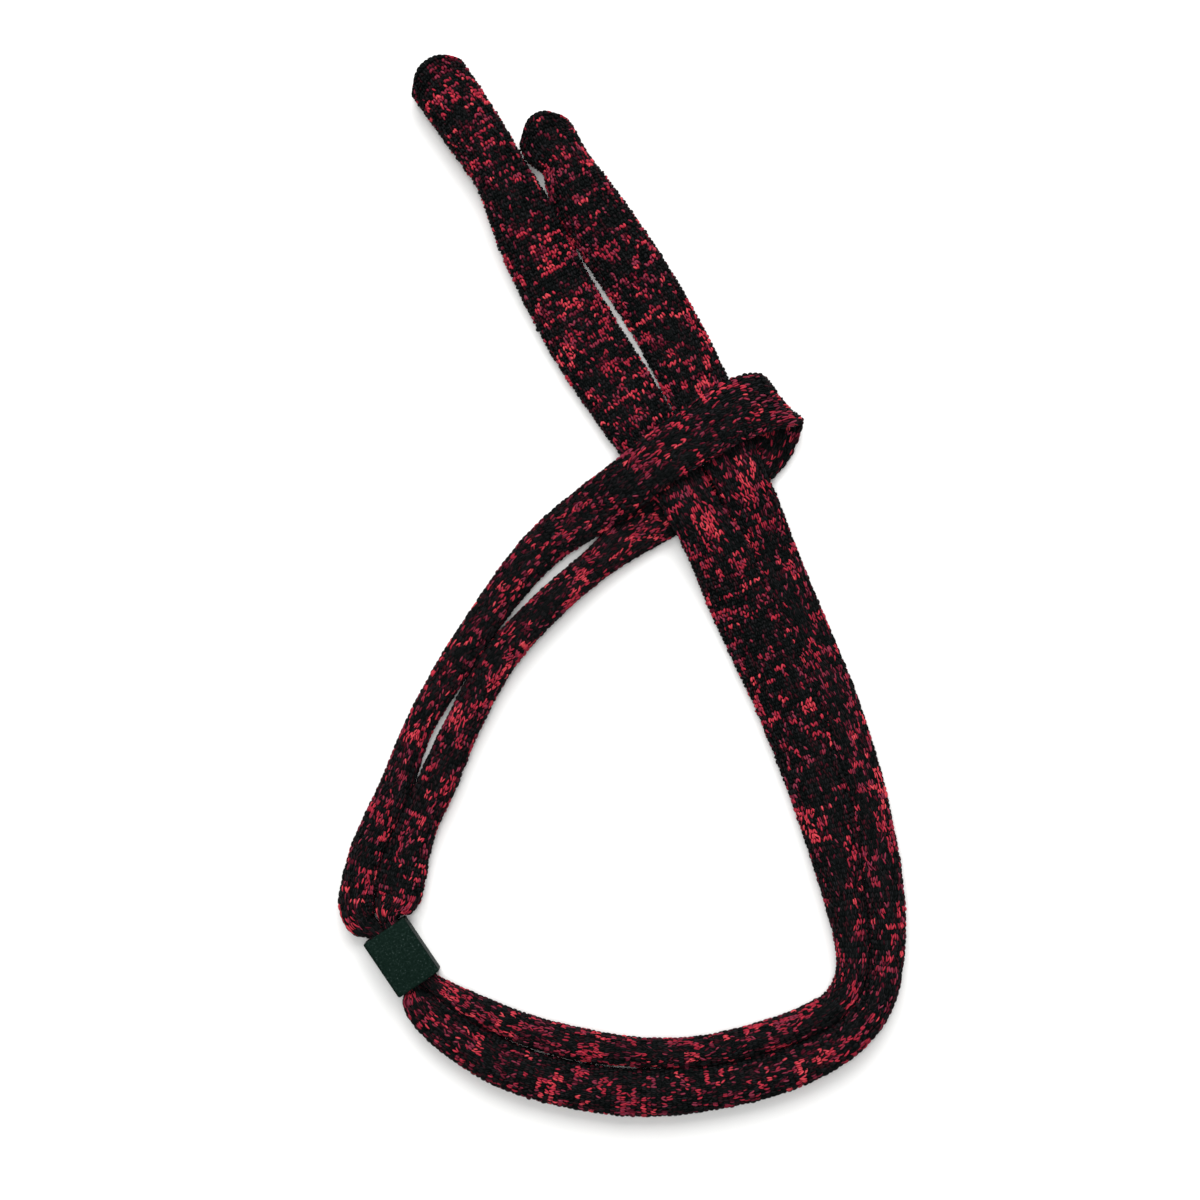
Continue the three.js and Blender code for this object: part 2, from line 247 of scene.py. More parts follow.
def station_at(position):
    """The spline through the stations, its knots spaced by the square root of the distance."""
    i = np.clip(np.floor(position).astype(int), 0, LAST - 1)
    t = (position - i)[:, None]
    before_first = 2 * STATIONS[0] - STATIONS[1]
    after_last = 2 * STATIONS[-1] - STATIONS[-2]
    known = np.vstack([before_first, STATIONS, after_last])
    p0, p1, p2, p3 = known[i], known[i + 1], known[i + 2], known[i + 3]

    def knot(a, b):
        return np.sqrt(np.linalg.norm((a - b)[:, :3], axis=1))[:, None]

    before, within, after = knot(p0, p1), knot(p1, p2), knot(p2, p3)
    start_slope = (p1 - p0) / before - (p2 - p0) / (before + within) + (p2 - p1) / within
    end_slope = (p2 - p1) / within - (p3 - p1) / (within + after) + (p3 - p2) / after
    m1, m2 = start_slope * within, end_slope * within
    cubic = 2 * p1 - 2 * p2 + m1 + m2
    square = -3 * p1 + 3 * p2 - 2 * m1 - m2
    return ((cubic * t + square) * t + m1) * t + p1


def tangent_at(position):
    ahead = station_at(np.minimum(position + 0.01, LAST))
    behind = station_at(np.maximum(position - 0.01, 0))
    return unit((ahead - behind)[:, :3])


def level_side(position):
    up = np.zeros((len(position), 3))
    up[:, 2] = np.where(position > LAST_UNDERFOOT, -1, 1)
    return unit(np.cross(tangent_at(position), up))


def side_and_normal(position):
    tangent = tangent_at(position)
    side = level_side(position)
    folding = (position > LAST_UNDERFOOT) & (position < FIRST_OVERHEAD)
    share = ((position[folding] - LAST_UNDERFOOT) / (FIRST_OVERHEAD - LAST_UNDERFOOT))[:, None]
    from_side = level_side(np.array([float(LAST_UNDERFOOT)]))
    to_side = level_side(np.array([float(FIRST_OVERHEAD)]))
    between = from_side * (1 - share) + to_side * share
    between -= (between * tangent[folding]).sum(1, keepdims=True) * tangent[folding]
    side[folding] = unit(between)
    tilt = np.radians(station_at(position)[:, 5])[:, None]
    side = side * np.cos(tilt) + np.cross(tangent, side) * np.sin(tilt)
    return side, np.cross(side, tangent)


# ---------------------------------------------------------------- the tube's surface

# A grid over the whole tube: rows an even step along it, columns an even share of the
# way round it. Everything knitted is laid out in (distance along, share round) on it.
ROW_STEP = 0.00025
COLUMNS = 96
WALES = 30                 # stitch columns round the tube
WALL = 0.0008              # of the fabric, at the open sleeves


def positions_by_length():
    fine = np.linspace(0, LAST, LAST * 60 + 1)
    centres = station_at(fine)[:, :3]
    lengths = np.r_[0, np.cumsum(np.linalg.norm(np.diff(centres, axis=0), axis=1))]
    return fine, lengths


FINE, FINE_LENGTHS = positions_by_length()
TUBE_LENGTH = FINE_LENGTHS[-1]
ROWS = int(TUBE_LENGTH / ROW_STEP) + 1
ROW_LENGTHS = np.linspace(0, TUBE_LENGTH, ROWS)


def length_at(stretch):
    """The distance along the tube at which a stretch starts."""
    return float(np.interp(FIRST[stretch], FINE, FINE_LENGTHS))


def make_grid():
    position = np.interp(ROW_LENGTHS, FINE_LENGTHS, FINE)
    station = station_at(position)
    side, normal = side_and_normal(position)
    angle = np.linspace(0, 2 * np.pi, 241)
    across = np.sign(np.cos(angle)) * np.abs(np.cos(angle)) ** (2 / ROUNDNESS)
    upward = np.sign(np.sin(angle)) * np.abs(np.sin(angle)) ** (2 / ROUNDNESS)
    shares = np.linspace(0, 1, COLUMNS + 1)
    points = np.empty((ROWS, COLUMNS + 1, 3))
    perimeters = np.empty(ROWS)
    for r in range(ROWS):
        x = across * station[r, 3] / 2
        y = upward * station[r, 4] / 2
        walked = np.r_[0, np.cumsum(np.hypot(np.diff(x), np.diff(y)))]
        perimeters[r] = walked[-1]
        ex = np.interp(shares * walked[-1], walked, x)[:, None]
        ey = np.interp(shares * walked[-1], walked, y)[:, None]
        points[r] = station[r, :3] + ex * side[r] + ey * normal[r]
    around = np.empty_like(points)
    around[:, 1:-1] = points[:, 2:] - points[:, :-2]
    around[:, 0] = around[:, -1] = points[:, 1] - points[:, -2]
    along = np.gradient(points, axis=0)
    normals = np.cross(along, around)
    normals /= np.linalg.norm(normals, axis=2, keepdims=True)
    if (normals * (points - station[:, None, :3])).sum() < 0:
        normals = -normals
    bore = station[:, None, :3] + narrowed(points - station[:, None, :3], station, side, normal)
    across = ((points - station[:, None, :3]) * side[:, None]).sum(2) / (station[:, None, 3] / 2)
    return station[:, :3], points, normals, bore, across[..., None], perimeters


def narrowed(outward, station, side, normal):
    """The offsets of a section's points from its centre, drawn in by the wall's thickness."""
    x = (outward * side[:, None]).sum(2) * (1 - 2 * WALL / station[:, None, 3])
    y = (outward * normal[:, None]).sum(2) * (1 - 2 * WALL / station[:, None, 4])
    return x[..., None] * side[:, None] + y[..., None] * normal[:, None]


CENTRES, GRID, NORMALS, BORE, ACROSS, PERIMETERS = make_grid()


def look_up(length, share, *grids):
    """Each grid's values at (length, share), equal-shaped arrays. A length beyond a mouth goes
    straight on."""
    row = length / ROW_STEP
    column = np.mod(share, 1) * COLUMNS
    r = np.clip(np.floor(row).astype(int), 0, ROWS - 2)
    c = np.minimum(column.astype(int), COLUMNS - 1)
    fr, fc = (row - r)[..., None], (column - c)[..., None]
    weights = ((1 - fr) * (1 - fc), (1 - fr) * fc, fr * (1 - fc), fr * fc)
    corners = ((r, c), (r, c + 1), (r + 1, c), (r + 1, c + 1))
    return [sum(w * grid[i, j] for w, (i, j) in zip(weights, corners)) for grid in grids]


def centre_at(length):
    return tuple(float(np.interp(length, ROW_LENGTHS, CENTRES[:, k])) for k in range(3))


def on_tube(length, share):
    """Points on the tube and their outward normals."""
    point, normal = look_up(length, share, GRID, NORMALS)
    return point, normal / np.linalg.norm(normal, axis=-1, keepdims=True)


def on_bore(length, share):
    """Points on the wall inside the tube, and their normals into the bore."""
    point, normal = look_up(length, share, BORE, NORMALS)
    return point, -normal / np.linalg.norm(normal, axis=-1, keepdims=True)


def on_rim(length, share):
    """Points halfway through the wall."""
    outer, inner, normal = look_up(length, share, GRID, BORE, NORMALS)
    return (outer + inner) / 2, normal / np.linalg.norm(normal, axis=-1, keepdims=True)


def perimeter_at(length):
    return np.interp(length, ROW_LENGTHS, PERIMETERS)


# The mouths are bound off in a dome: the two flanks are pulled back from the rim.
DOME = 0.0023
DOME_REACH = 0.006


def domed(length, share):
    """length with the flanks of both mouths drawn back."""
    flank = np.abs(look_up(length, share, ACROSS)[0][..., 0]) ** 2.5
    from_a = DOME * np.exp(-length / DOME_REACH)
    from_b = DOME * np.exp(-(TUBE_LENGTH - length) / DOME_REACH)
    return length + flank * (from_a - from_b)


# ---------------------------------------------------------------- courses and colours

COURSE = 0.00070           # one stitch, where the tube lies relaxed
RELAXED_PERIMETER = 0.0205
LEAST_STRETCH, MOST_STRETCH = 0.85, 1.1    # of a course, beside COURSE

# Dyes run from 0, black, to 1, bright red.
BLACK_RUN, RED_RUN = 4.6, 2.4              # mean stitches in a run of one colour
RUN_DYES = (0.42, 0.46, 0.52, 0.60, 0.66, 0.72, 0.80, 0.92)
CARRIED_ON = 0.22          # share of stitches that take the dye of the course before
PATCHES_PER_COURSE = 0.25  # of each colour
LEAST_PATCH, MOST_BLACK_PATCH, MOST_RED_PATCH = 1.5, 4.0, 2.4    # reach in stitches
PATCH_FILLED = 0.8
PATCH_DYES = (0.64, 0.95)
DROPPED_LEGS = 0.26        # share of red legs that turn out black
LONE_LEGS = 0.06           # share of all legs that are red on their own
LONE_DYES = (0.44, 0.62)
MOST_PLAIN_DYE = 0.38
LEAST_RED_DYE = 0.3
DYE_SPREAD = 0.08

# Painted contact shade: where the strap lies against itself, the stitches nearer than this to the
# neighbouring strand's middle are painted black as shade; the neighbour is at least this much further along
# the tube.
CONTACT_SHADE_REACH = 0.0034
NEIGHBOUR_APART = 0.025
NEIGHBOUR_STEP = 0.001
CONTACT_SHADE_SHARE = 0.9         # share of those stitches, painted black as contact shade
rng = np.random.default_rng(31)


def lay_courses():
    """Where each course of stitches lies along the tube. A narrow tube is a stretched one,
    and its courses are longer."""
    pitch = COURSE * RELAXED_PERIMETER / PERIMETERS
    pitch = np.clip(pitch, LEAST_STRETCH * COURSE, MOST_STRETCH * COURSE)
    walked = np.r_[0, np.cumsum(ROW_STEP / pitch[:-1])]
    count = int(walked[-1])
    centres = np.interp((np.arange(count) + 0.5) * walked[-1] / count, walked, ROW_LENGTHS)
    return centres, np.interp(centres, ROW_LENGTHS, pitch)


COURSE_AT, COURSE_PITCH = lay_courses()
COURSES = len(COURSE_AT)


def painted_contact_shade(course, wale):
    """Which stitches face a strand that lies beside or over their own: the mask of the painted contact
    shade.
    """
    spots = look_up(COURSE_AT[course], (wale + 0.5) / WALES, GRID)[0]
    nearest = np.full(course.shape, np.inf)
    for length in np.arange(0, TUBE_LENGTH, NEIGHBOUR_STEP):
        away = np.linalg.norm(spots - centre_at(length), axis=2)
        other = np.abs(COURSE_AT[course] - length) > NEIGHBOUR_APART
        nearest = np.where(other, np.minimum(nearest, away), nearest)
    return nearest < CONTACT_SHADE_REACH


def dye_stitches():
    """The colour of each stitch leg, from 0 black to 1 bright red. The yarn runs round the
    tube, so a dyed length shows as a run of stitches within a course, and often again in the
    next. Plain black patches and denser red ones lie between. Where the strap lies against
    itself, the stitches facing the other strand are set to black as painted contact shade."""
    red = np.zeros(COURSES * WALES)
    at = 0
    while at < len(red):
        at += 1 + rng.geometric(1 / BLACK_RUN)
        run = rng.geometric(1 / RED_RUN)
        red[at:at + run] = rng.choice(RUN_DYES)
        at += run
    red = red.reshape(COURSES, WALES)
    for c in range(1, COURSES):
        kept = (rng.random(WALES) < CARRIED_ON) & (red[c] == 0)
        red[c] = np.where(kept, red[c - 1], red[c])
    course, wale = np.mgrid[0:COURSES, 0:WALES]
    for kind in rng.permutation(["black", "red"] * int(COURSES * PATCHES_PER_COURSE)):
        from_wale = np.abs(np.mod(wale - rng.integers(WALES) + WALES / 2, WALES) - WALES / 2)
        reach = rng.uniform(LEAST_PATCH, MOST_BLACK_PATCH if kind == "black" else MOST_RED_PATCH)
        distance = np.hypot(from_wale, course - rng.integers(COURSES))
        patch = (distance < reach) & (rng.random(red.shape) < PATCH_FILLED)
        red[patch] = 0 if kind == "black" else rng.uniform(*PATCH_DYES)
    # Painted contact shade: stitches that face a neighbouring strand are set to black.
    red[painted_contact_shade(course, wale) & (rng.random(red.shape) < CONTACT_SHADE_SHARE)] = 0
    legs = np.repeat(red[:, :, None], 2, axis=2)
    legs *= rng.random(legs.shape) > DROPPED_LEGS
    lone = rng.random(legs.shape) < LONE_LEGS
    legs = np.where(lone, rng.uniform(*LONE_DYES, legs.shape), legs)
    plain = rng.uniform(0.0, MOST_PLAIN_DYE, legs.shape)
    spread = rng.normal(0, DYE_SPREAD, legs.shape)
    return np.clip(np.where(legs > LEAST_RED_DYE, legs + spread, plain), 0, 1)


DYE_AND_SHADE = dye_stitches()

# ---------------------------------------------------------------- knitted mesh

RING_AT = np.array([-0.72, -0.28, 0.28, 0.72])
SIDES = 5
SIDE_ANGLES = np.radians(90 + np.arange(SIDES) * 360 / SIDES)
LEG_VERTICES = len(RING_AT) * SIDES + 2
BAKE_LAYER = "OFBake"


def leg_template():
    """One stitch leg as a closed spindle: each vertex's place along and across it, its
    height and the faces. Lengths are in halves of the leg's own size."""
    along, across, height = [-1.0], [0.0], [0.0]
    for t in RING_AT:
        swell = math.sqrt(1 - (0.93 * t) ** 2)
        for angle in SIDE_ANGLES:
            along.append(t)
            across.append(swell * math.cos(angle))
            height.append(swell * math.sin(angle))
    along.append(1.0)
    across.append(0.0)
    height.append(0.0)
    faces, spots = [], []
    last = LEG_VERTICES - 1
    for k in range(SIDES):
        n = (k + 1) % SIDES
        a, b = k / SIDES, (k + 1) / SIDES
        faces.append((0, 1 + n, 1 + k))
        spots.append(((0, (a + b) / 2), (0.14, b), (0.14, a)))
        for r in range(len(RING_AT) - 1):
            near, far = 1 + r * SIDES, 1 + (r + 1) * SIDES
            u0, u1 = (1 + RING_AT[r]) / 2, (1 + RING_AT[r + 1]) / 2
            faces.append((near + k, near + n, far + n, far + k))
            spots.append(((u0, a), (u0, b), (u1, b), (u1, a)))
        top = 1 + (len(RING_AT) - 1) * SIDES
        faces.append((top + k, top + n, last))
        spots.append(((0.86, a), (0.86, b), (1, (a + b) / 2)))
    return np.array(along), np.array(across), np.array(height), faces, spots


LEG_ALONG, LEG_ACROSS, LEG_HEIGHT, LEG_FACES, LEG_SPOTS = leg_template()
LEG_LOOPS = np.array([v for face in LEG_FACES for v in face])
LEG_SIZES = np.array([len(face) for face in LEG_FACES])
LEG_SPOTS_FLAT = np.array([spot for face in LEG_SPOTS for spot in face])


class Knit:
    """Vertices, faces, dye and UVs of one knitted piece, gathered before the mesh is made."""

    def __init__(self):
        self.points, self.loops, self.sizes = [], [], []
        self.dye, self.yarn_uv, self.cells = [], [], []
        self.count = 0

    def add_legs(self, length, share, half_length, half_width, half_height, lean, depth, dive, dye,
                 surface=on_tube):
        """Stitch legs centred at (length, share) on the tube. lean is the angle in radians
        from the tube's axis, depth how far the leg's centre lies under the surface, and dive
        how much further its tips go down."""
        a = LEG_ALONG[None] * half_length[:, None]
        b = LEG_ACROSS[None] * half_width[:, None]
        cos, sin = np.cos(lean)[:, None], np.sin(lean)[:, None]
        along = a * cos - b * sin
        around = a * sin + b * cos
        at = length[:, None] + along
        turn = share[:, None] + around / perimeter_at(length)[:, None]
        base, normal = surface(domed(at, turn), turn)
        sunk = depth[:, None] + dive[:, None] * LEG_ALONG[None] ** 2
        lift = LEG_HEIGHT[None] * half_height[:, None] - sunk
        self.add_copies(base + normal * lift[..., None], dye, a, half_width)

    def add_copies(self, points, dye, along, half_width):
        n = len(points)
        first = self.count + np.arange(n)[:, None] * LEG_VERTICES
        self.points.append(points.reshape(-1, 3))
        self.loops.append((first + LEG_LOOPS[None]).ravel())
        self.sizes.append(np.tile(LEG_SIZES, n))
        self.dye.append(np.repeat(dye, LEG_VERTICES))
        start = rng.random(n)[:, None] * 0.05
        span = np.abs(along[:, -1] - along[:, 0])[:, None]
        u = start + LEG_SPOTS_FLAT[None, :, 0] * span
        v = start + LEG_SPOTS_FLAT[None, :, 1] * half_width[:, None] * 6
        self.yarn_uv.append(np.stack([u, v], axis=2).reshape(-1, 2))
        self.cells.append(np.tile(LEG_SPOTS_FLAT, (n, 1)).reshape(n, -1, 2))
        self.count += n * LEG_VERTICES

    def add_shell(self, rings, closed, dye=0.0):
        """A plain tube through rings of points. closed joins the last ring to the first;
        otherwise each end is closed by a face."""
        rings = np.array(rings)
        count, sides = rings.shape[:2]
        index = self.count + np.arange(count * sides).reshape(count, sides)
        following = np.roll(index, -1, axis=1)
        ahead, ahead_following = np.roll(index, -1, axis=0), np.roll(following, -1, axis=0)
        quads = np.stack([index, following, ahead_following, ahead], axis=2)
        quads = quads if closed else quads[:-1]
        loops, sizes = quads.reshape(-1), np.full(quads.size // 4, 4)
        if not closed:
            loops = np.r_[loops, index[0][::-1], index[-1]]
            sizes = np.r_[sizes, sides, sides]
        self.points.append(rings.reshape(-1, 3))
        self.loops.append(loops)
        self.sizes.append(sizes)
        self.dye.append(np.full(count * sides, dye))
        local = loops - self.count
        u = (local // sides) * 0.0012
        v = (local % sides) * 0.0007
        self.yarn_uv.append(np.stack([u, v], axis=1))
        self.cells.append(np.full((1, len(loops), 2), 0.5))
        self.count += count * sides

    def bake_map(self):
        """Each leg, and each shell, gets a square of its own in the bake's map, since each is
        of about one colour."""
        squares = sum(len(c) for c in self.cells)
        side = math.ceil(math.sqrt(squares))
        out, done = [], 0
        for cells in self.cells:
            number = done + np.arange(len(cells))
            corner = np.stack([number % side, number // side], axis=1)[:, None, :]
            out.append(((corner + 0.12 + 0.76 * cells) / side).reshape(-1, 2))
            done += len(cells)
        return np.vstack(out)

    def make(self, name, material):
        points = np.vstack(self.points)
        loops = np.concatenate(self.loops)
        sizes = np.concatenate(self.sizes)
        mesh = bpy.data.meshes.new(name)
        mesh.vertices.add(len(points))
        mesh.vertices.foreach_set("co", points.astype(np.float32).ravel())
        mesh.loops.add(len(loops))
        mesh.loops.foreach_set("vertex_index", loops.astype(np.int32))
        mesh.polygons.add(len(sizes))
        mesh.polygons.foreach_set("loop_start", np.r_[0, np.cumsum(sizes)[:-1]].astype(np.int32))
        mesh.polygons.foreach_set("use_smooth", np.ones(len(sizes), bool))
        mesh.attributes.new("dye", "FLOAT", "POINT").data.foreach_set(
            "value", np.concatenate(self.dye).astype(np.float32))
        for layer, values in (("yarn", np.vstack(self.yarn_uv)), (BAKE_LAYER, self.bake_map())):
            mesh.uv_layers.new(name=layer).data.foreach_set("uv", values.astype(np.float32).ravel())
        mesh.update(calc_edges=True)
        mesh.validate()
        mesh.materials.append(material)
        piece = bpy.data.objects.new(name, mesh)
        bpy.context.scene.collection.objects.link(piece)
        return piece

# ---------------------------------------------------------------- stitches

def knit_courses(knit, first, last):
    """The right side of the jersey: a V of two legs for every wale of the courses from first
    up to last."""
    course, wale, leg = (g.ravel() for g in np.meshgrid(
        np.arange(first, last), np.arange(WALES), (0, 1), indexing="ij"))
    hand = np.where(leg == 0, -1.0, 1.0)
    pitch = COURSE_PITCH[course]
    at = COURSE_AT[course]
    gauge = perimeter_at(at) / WALES
    n = len(course)
    jitter = rng.normal(0, 1, (6, n))
    knit.add_legs(
        length=at + 0.08 * pitch * jitter[0],
        share=(wale + 0.5 + hand * 0.25 + 0.05 * jitter[1]) / WALES,
        half_length=0.66 * pitch * (1 + 0.12 * jitter[2]),
        half_width=0.225 * gauge * (1 + 0.13 * jitter[3]),
        half_height=0.26 * gauge,
        lean=hand * np.arctan2(0.40 * gauge, 1.3 * pitch) + 0.22 * jitter[4],
        depth=(0.25 + 0.10 * jitter[5]) * gauge,
        dive=0.22 * gauge,
        dye=DYE_AND_SHADE[course, wale, leg],
    )


# Rows of the bound-off chain: the surface it lies on, how far back from the rim, the slant
# in radians, the depth under the surface, and the size beside the gauge.
BOUND_ROWS = [
    (on_tube, 0.00025, 0.35, 0.00022, 1.0),
    (on_rim, 0.0, 0.0, 0.0, 1.25),
    (on_bore, 0.00025, -0.35, 0.00012, 1.0),
]


def bind_off(knit, mouth, inward):
    """The bound-off chain round a mouth: a bead of slanting loops on the rim, one for each
    wale, inside and outside a middle row. inward is +1 where the tube runs on from the mouth."""
    wale = np.arange(WALES)
    gauge = perimeter_at(mouth) / WALES
    for surface, set_back, lean, depth, swell in BOUND_ROWS:
        jitter = rng.normal(0, 1, (3, WALES))
        knit.add_legs(
            length=mouth + inward * set_back * np.ones(WALES),
            share=(wale + 0.5 + 0.04 * jitter[0]) / WALES,
            half_length=0.66 * gauge * (1 + 0.05 * jitter[1]),
            half_width=np.full(WALES, 0.30 * gauge * swell),
            half_height=np.full(WALES, 0.30 * gauge * swell),
            lean=math.radians(90) - inward * lean + 0.08 * jitter[2],
            depth=np.full(WALES, depth),
            dive=np.full(WALES, 0.10 * gauge),
            dye=rng.choice([0.05, 0.12, 0.2, 0.72, 0.85], WALES, p=[0.35, 0.25, 0.15, 0.15, 0.10]),
            surface=surface,
        )


def purl_courses(knit, first, last):
    """The wrong side of the jersey, inside an open sleeve: a low bump across each wale."""
    course, wale = (g.ravel() for g in np.meshgrid(np.arange(first, last), np.arange(WALES), indexing="ij"))
    at = COURSE_AT[course]
    gauge = perimeter_at(at) / WALES
    jitter = rng.normal(0, 1, (2, len(course)))
    knit.add_legs(
        length=at,
        share=(wale + 0.04 * jitter[0]) / WALES,
        half_length=0.55 * gauge,
        half_width=0.34 * COURSE_PITCH[course],
        half_height=0.22 * gauge,
        lean=math.radians(90) + 0.08 * jitter[1],
        depth=0.06 * gauge,
        dive=0.25 * gauge,
        dye=DYE_AND_SHADE[course, wale, 0],
        surface=on_bore,
    )


BACKING_STEP = 0.0011
BACKING_SIDES = 36
BACKING_DEPTH = 0.36       # under the surface, beside the gauge


def backing(knit, start, end, hollow):
    """The closed body of fabric just under the stitches. It takes the black end of the yarn colours, which
    is partly the fabric's own dark yarn and partly painted shade in the gaps between the stitch legs.
    """
    steps = max(2, round((end - start) / BACKING_STEP))
    lengths = np.linspace(start, end, steps + 1)
    shares = np.arange(BACKING_SIDES) / BACKING_SIDES
    rings = []
    for length in lengths:
        at = np.full(BACKING_SIDES, length)
        point, normal = on_tube(domed(at, shares), shares)
        rings.append(point - normal * BACKING_DEPTH * perimeter_at(length) / WALES)
    if hollow:
        for length in lengths[::-1]:
            at = np.full(BACKING_SIDES, length)
            rings.append(on_bore(domed(at, shares), shares)[0])
    # Left at black, the backing is partly painted shade between the stitch legs.
    knit.add_shell(rings, closed=hollow)


def course_range(start, end):
    return int(np.searchsorted(COURSE_AT, start)), int(np.searchsorted(COURSE_AT, end))


# ---------------------------------------------------------------- materials

def new_material(name):
    material = bpy.data.materials.new(name)
    material.use_nodes = True
    tree = material.node_tree
    return material, tree, tree.nodes["Principled BSDF"]


def node(tree, kind, **inputs):
    made = tree.nodes.new(kind)
    for socket, value in inputs.items():
        made.inputs[socket.replace("_", " ")].default_value = value
    return made


def ramp(tree, source, stops):
    made = tree.nodes.new("ShaderNodeValToRGB")
    elements = made.color_ramp.elements
    for position, colour in stops[1:-1]:
        elements.new(position).color = (*colour, 1)
    elements[0].position, elements[0].color = stops[0][0], (*stops[0][1], 1)
    elements[-1].position, elements[-1].color = stops[-1][0], (*stops[-1][1], 1)
    tree.links.new(source, made.inputs["Fac"])
    return made


# Yarn colours from black at 0 to bright red at 1. The black end also shows painted shade: on stitches that
# face a neighbouring strand, and partly on the backing between the stitch legs.
YARN_COLOURS = [
    (0.00, (0.0018, 0.0028, 0.0028)),
    (0.15, (0.0040, 0.0050, 0.0050)),
    (0.28, (0.0110, 0.0105, 0.0115)),
    (0.36, (0.0280, 0.0050, 0.0080)),
    (0.46, (0.0900, 0.0060, 0.0160)),
    (0.55, (0.2300, 0.0300, 0.0560)),
    (0.66, (0.2700, 0.0160, 0.0330)),
    (0.82, (0.4500, 0.0260, 0.0480)),
    (1.00, (0.6400, 0.0640, 0.0800)),
]


def jersey_material(name, brightness):
    """Spun yarn: the stitch's colour from its dye attribute, mottled by its fibres, which also give it a
    fine relief; the brightest fibres get a painted pale-pink highlight.
    """
    material, tree, shader = new_material(name)
    dye = tree.nodes.new("ShaderNodeAttribute")
    dye.attribute_name = "dye"
    place = tree.nodes.new("ShaderNodeUVMap")
    place.uv_map = "yarn"
    drawn_out = tree.nodes.new("ShaderNodeMapping")
    drawn_out.inputs["Scale"].default_value = (1900, 6000, 1)
    tree.links.new(place.outputs["UV"], drawn_out.inputs["Vector"])
    fibres = node(tree, "ShaderNodeTexNoise", Scale=1.0, Detail=3.0, Roughness=0.6)
    tree.links.new(drawn_out.outputs["Vector"], fibres.inputs["Vector"])
    colour = ramp(tree, dye.outputs["Fac"], YARN_COLOURS)
    # Fibre mottle: the yarn's own darker and lighter streaks. The top stop, brighter and paler than the
    # yarn, is a painted pale-pink highlight standing for the fibres' sheen.
    fibre_tone_and_highlight = ramp(tree, fibres.outputs["Fac"], [
        (0.25, (0.45 * brightness,) * 3),
        (0.50, (0.95 * brightness,) * 3),
        (0.78, (1.35 * brightness, 1.70 * brightness, 1.90 * brightness)),
    ])
    mix = tree.nodes.new("ShaderNodeMix")
    mix.data_type = "RGBA"
    mix.blend_type = "MULTIPLY"
    mix.inputs["Factor"].default_value = 1
    tree.links.new(colour.outputs["Color"], mix.inputs["A"])
    tree.links.new(fibre_tone_and_highlight.outputs["Color"], mix.inputs["B"])
    tree.links.new(mix.outputs["Result"], shader.inputs["Base Color"])
    bump = node(tree, "ShaderNodeBump", Strength=0.5, Distance=0.00006)
    tree.links.new(fibres.outputs["Fac"], bump.inputs["Height"])
    tree.links.new(bump.outputs["Normal"], shader.inputs["Normal"])
    rough = ramp(tree, fibres.outputs["Fac"], [(0.2, (0.45,) * 3), (0.8, (0.7,) * 3)])
    tree.links.new(rough.outputs["Color"], shader.inputs["Roughness"])
    shader.inputs["Specular IOR Level"].default_value = 0.04
    return material


def slider_material():
    """Dark satin moulding with a fine spark-eroded grain."""
    material, tree, shader = new_material("slider_plastic")
    place = tree.nodes.new("ShaderNodeTexCoord")
    grain = node(tree, "ShaderNodeTexNoise", Scale=9000.0, Detail=4.0, Roughness=0.65)
    specks = node(tree, "ShaderNodeTexNoise", Scale=3200.0, Detail=3.0, Roughness=0.7)
    for texture in (grain, specks):
        tree.links.new(place.outputs["Object"], texture.inputs["Vector"])
    colour = ramp(tree, specks.outputs["Fac"], [
        (0.35, (0.0030, 0.0090, 0.0065)),
        (0.56, (0.0055, 0.0140, 0.0105)),
        (0.64, (0.0140, 0.0260, 0.0220)),
        (0.74, (0.0500, 0.0700, 0.0640)),
    ])
    tree.links.new(colour.outputs["Color"], shader.inputs["Base Color"])
    rough = ramp(tree, grain.outputs["Fac"], [(0.3, (0.28,) * 3), (0.7, (0.50,) * 3)])
    tree.links.new(rough.outputs["Color"], shader.inputs["Roughness"])
    bump = node(tree, "ShaderNodeBump", Strength=0.35, Distance=0.00003)
    tree.links.new(grain.outputs["Fac"], bump.inputs["Height"])
    tree.links.new(bump.outputs["Normal"], shader.inputs["Normal"])
    shader.inputs["Specular IOR Level"].default_value = 0.003
    return material


jersey = jersey_material("melange_jersey", 1.0)
hem_jersey = jersey_material("hem_jersey", 0.85)

# ---------------------------------------------------------------- the knitted pieces


